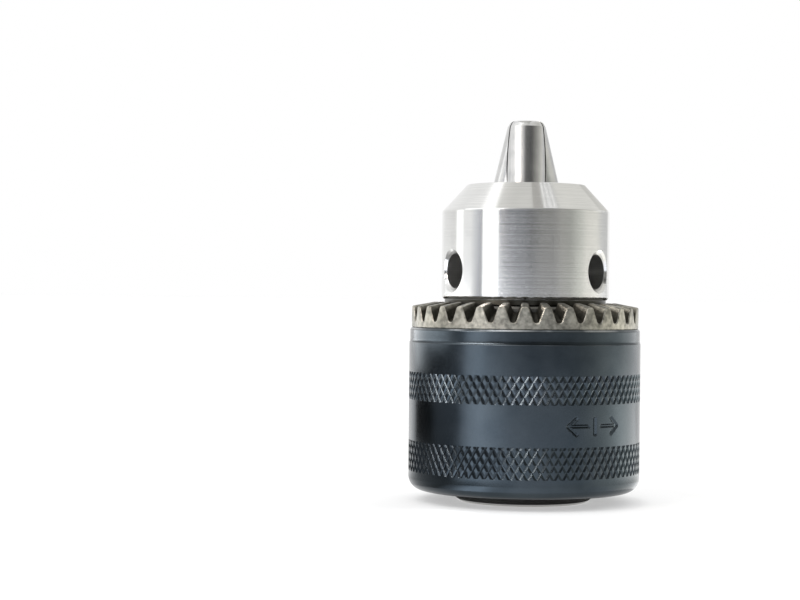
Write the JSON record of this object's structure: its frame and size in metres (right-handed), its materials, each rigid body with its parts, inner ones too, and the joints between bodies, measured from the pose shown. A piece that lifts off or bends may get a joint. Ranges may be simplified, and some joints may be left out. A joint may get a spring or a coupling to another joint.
{
  "type": "keyed drill chuck",
  "caption": "Keyed three-jaw drill chuck with a toothed ring, knurled sleeve, angled sliding jaws and a taper socket in its rear.",
  "frame": {"origin": "centre of the flat rear face, on the spindle axis; the chuck stands nose up on that face", "axes": "+Z along the spindle axis towards the nose; -Y is the front, where jaw_1 is; the key holes are at +Y and 30 degrees below the +X and -X axes"},
  "size_m": [0.043, 0.043, 0.0707],
  "materials": {
    "turned_steel": "fine turned, satin",
    "ground_steel": "ground, hardened",
    "nut_steel": "machined, oiled",
    "sintered_steel": "dull beige-grey, hardened",
    "black_steel": "black oxide, satin"
  },
  "bodies": {
    "chuck_body": {"body": "turned_steel"},
    "sleeve_assembly": {"sleeve": "black_steel", "gear_ring": "sintered_steel", "nut_half_left": "nut_steel", "nut_half_right": "nut_steel"},
    "jaw_front": {"jaw_1": "ground_steel"},
    "jaw_right": {"jaw_2": "ground_steel"},
    "jaw_left": {"jaw_3": "ground_steel"}
  },
  "joints": [
    {"name": "sleeve_turn", "type": "hinge", "parent": "chuck_body", "child": "sleeve_assembly", "pos_m": [0, 0, 0.033], "axis": [0, 0, 1], "range_deg": [0, 3780]},
    {"name": "jaw_1_slide", "type": "slide", "parent": "chuck_body", "child": "jaw_front", "axis": [0, -0.2672, -0.9636], "range_m": [0, 0.0221]},
    {"name": "jaw_2_slide", "type": "slide", "parent": "chuck_body", "child": "jaw_right", "axis": [0.2314, 0.1336, -0.9636], "range_m": [0, 0.0221]},
    {"name": "jaw_3_slide", "type": "slide", "parent": "chuck_body", "child": "jaw_left", "axis": [-0.2314, 0.1336, -0.9636], "range_m": [0, 0.0221]}
  ],
  "couplings": [
    {"joint": "jaw_1_slide", "follows": "sleeve_turn", "m_per_rad": 0.00033423},
    {"joint": "jaw_2_slide", "follows": "sleeve_turn", "m_per_rad": 0.00033423},
    {"joint": "jaw_3_slide", "follows": "sleeve_turn", "m_per_rad": 0.00033423}
  ]
}
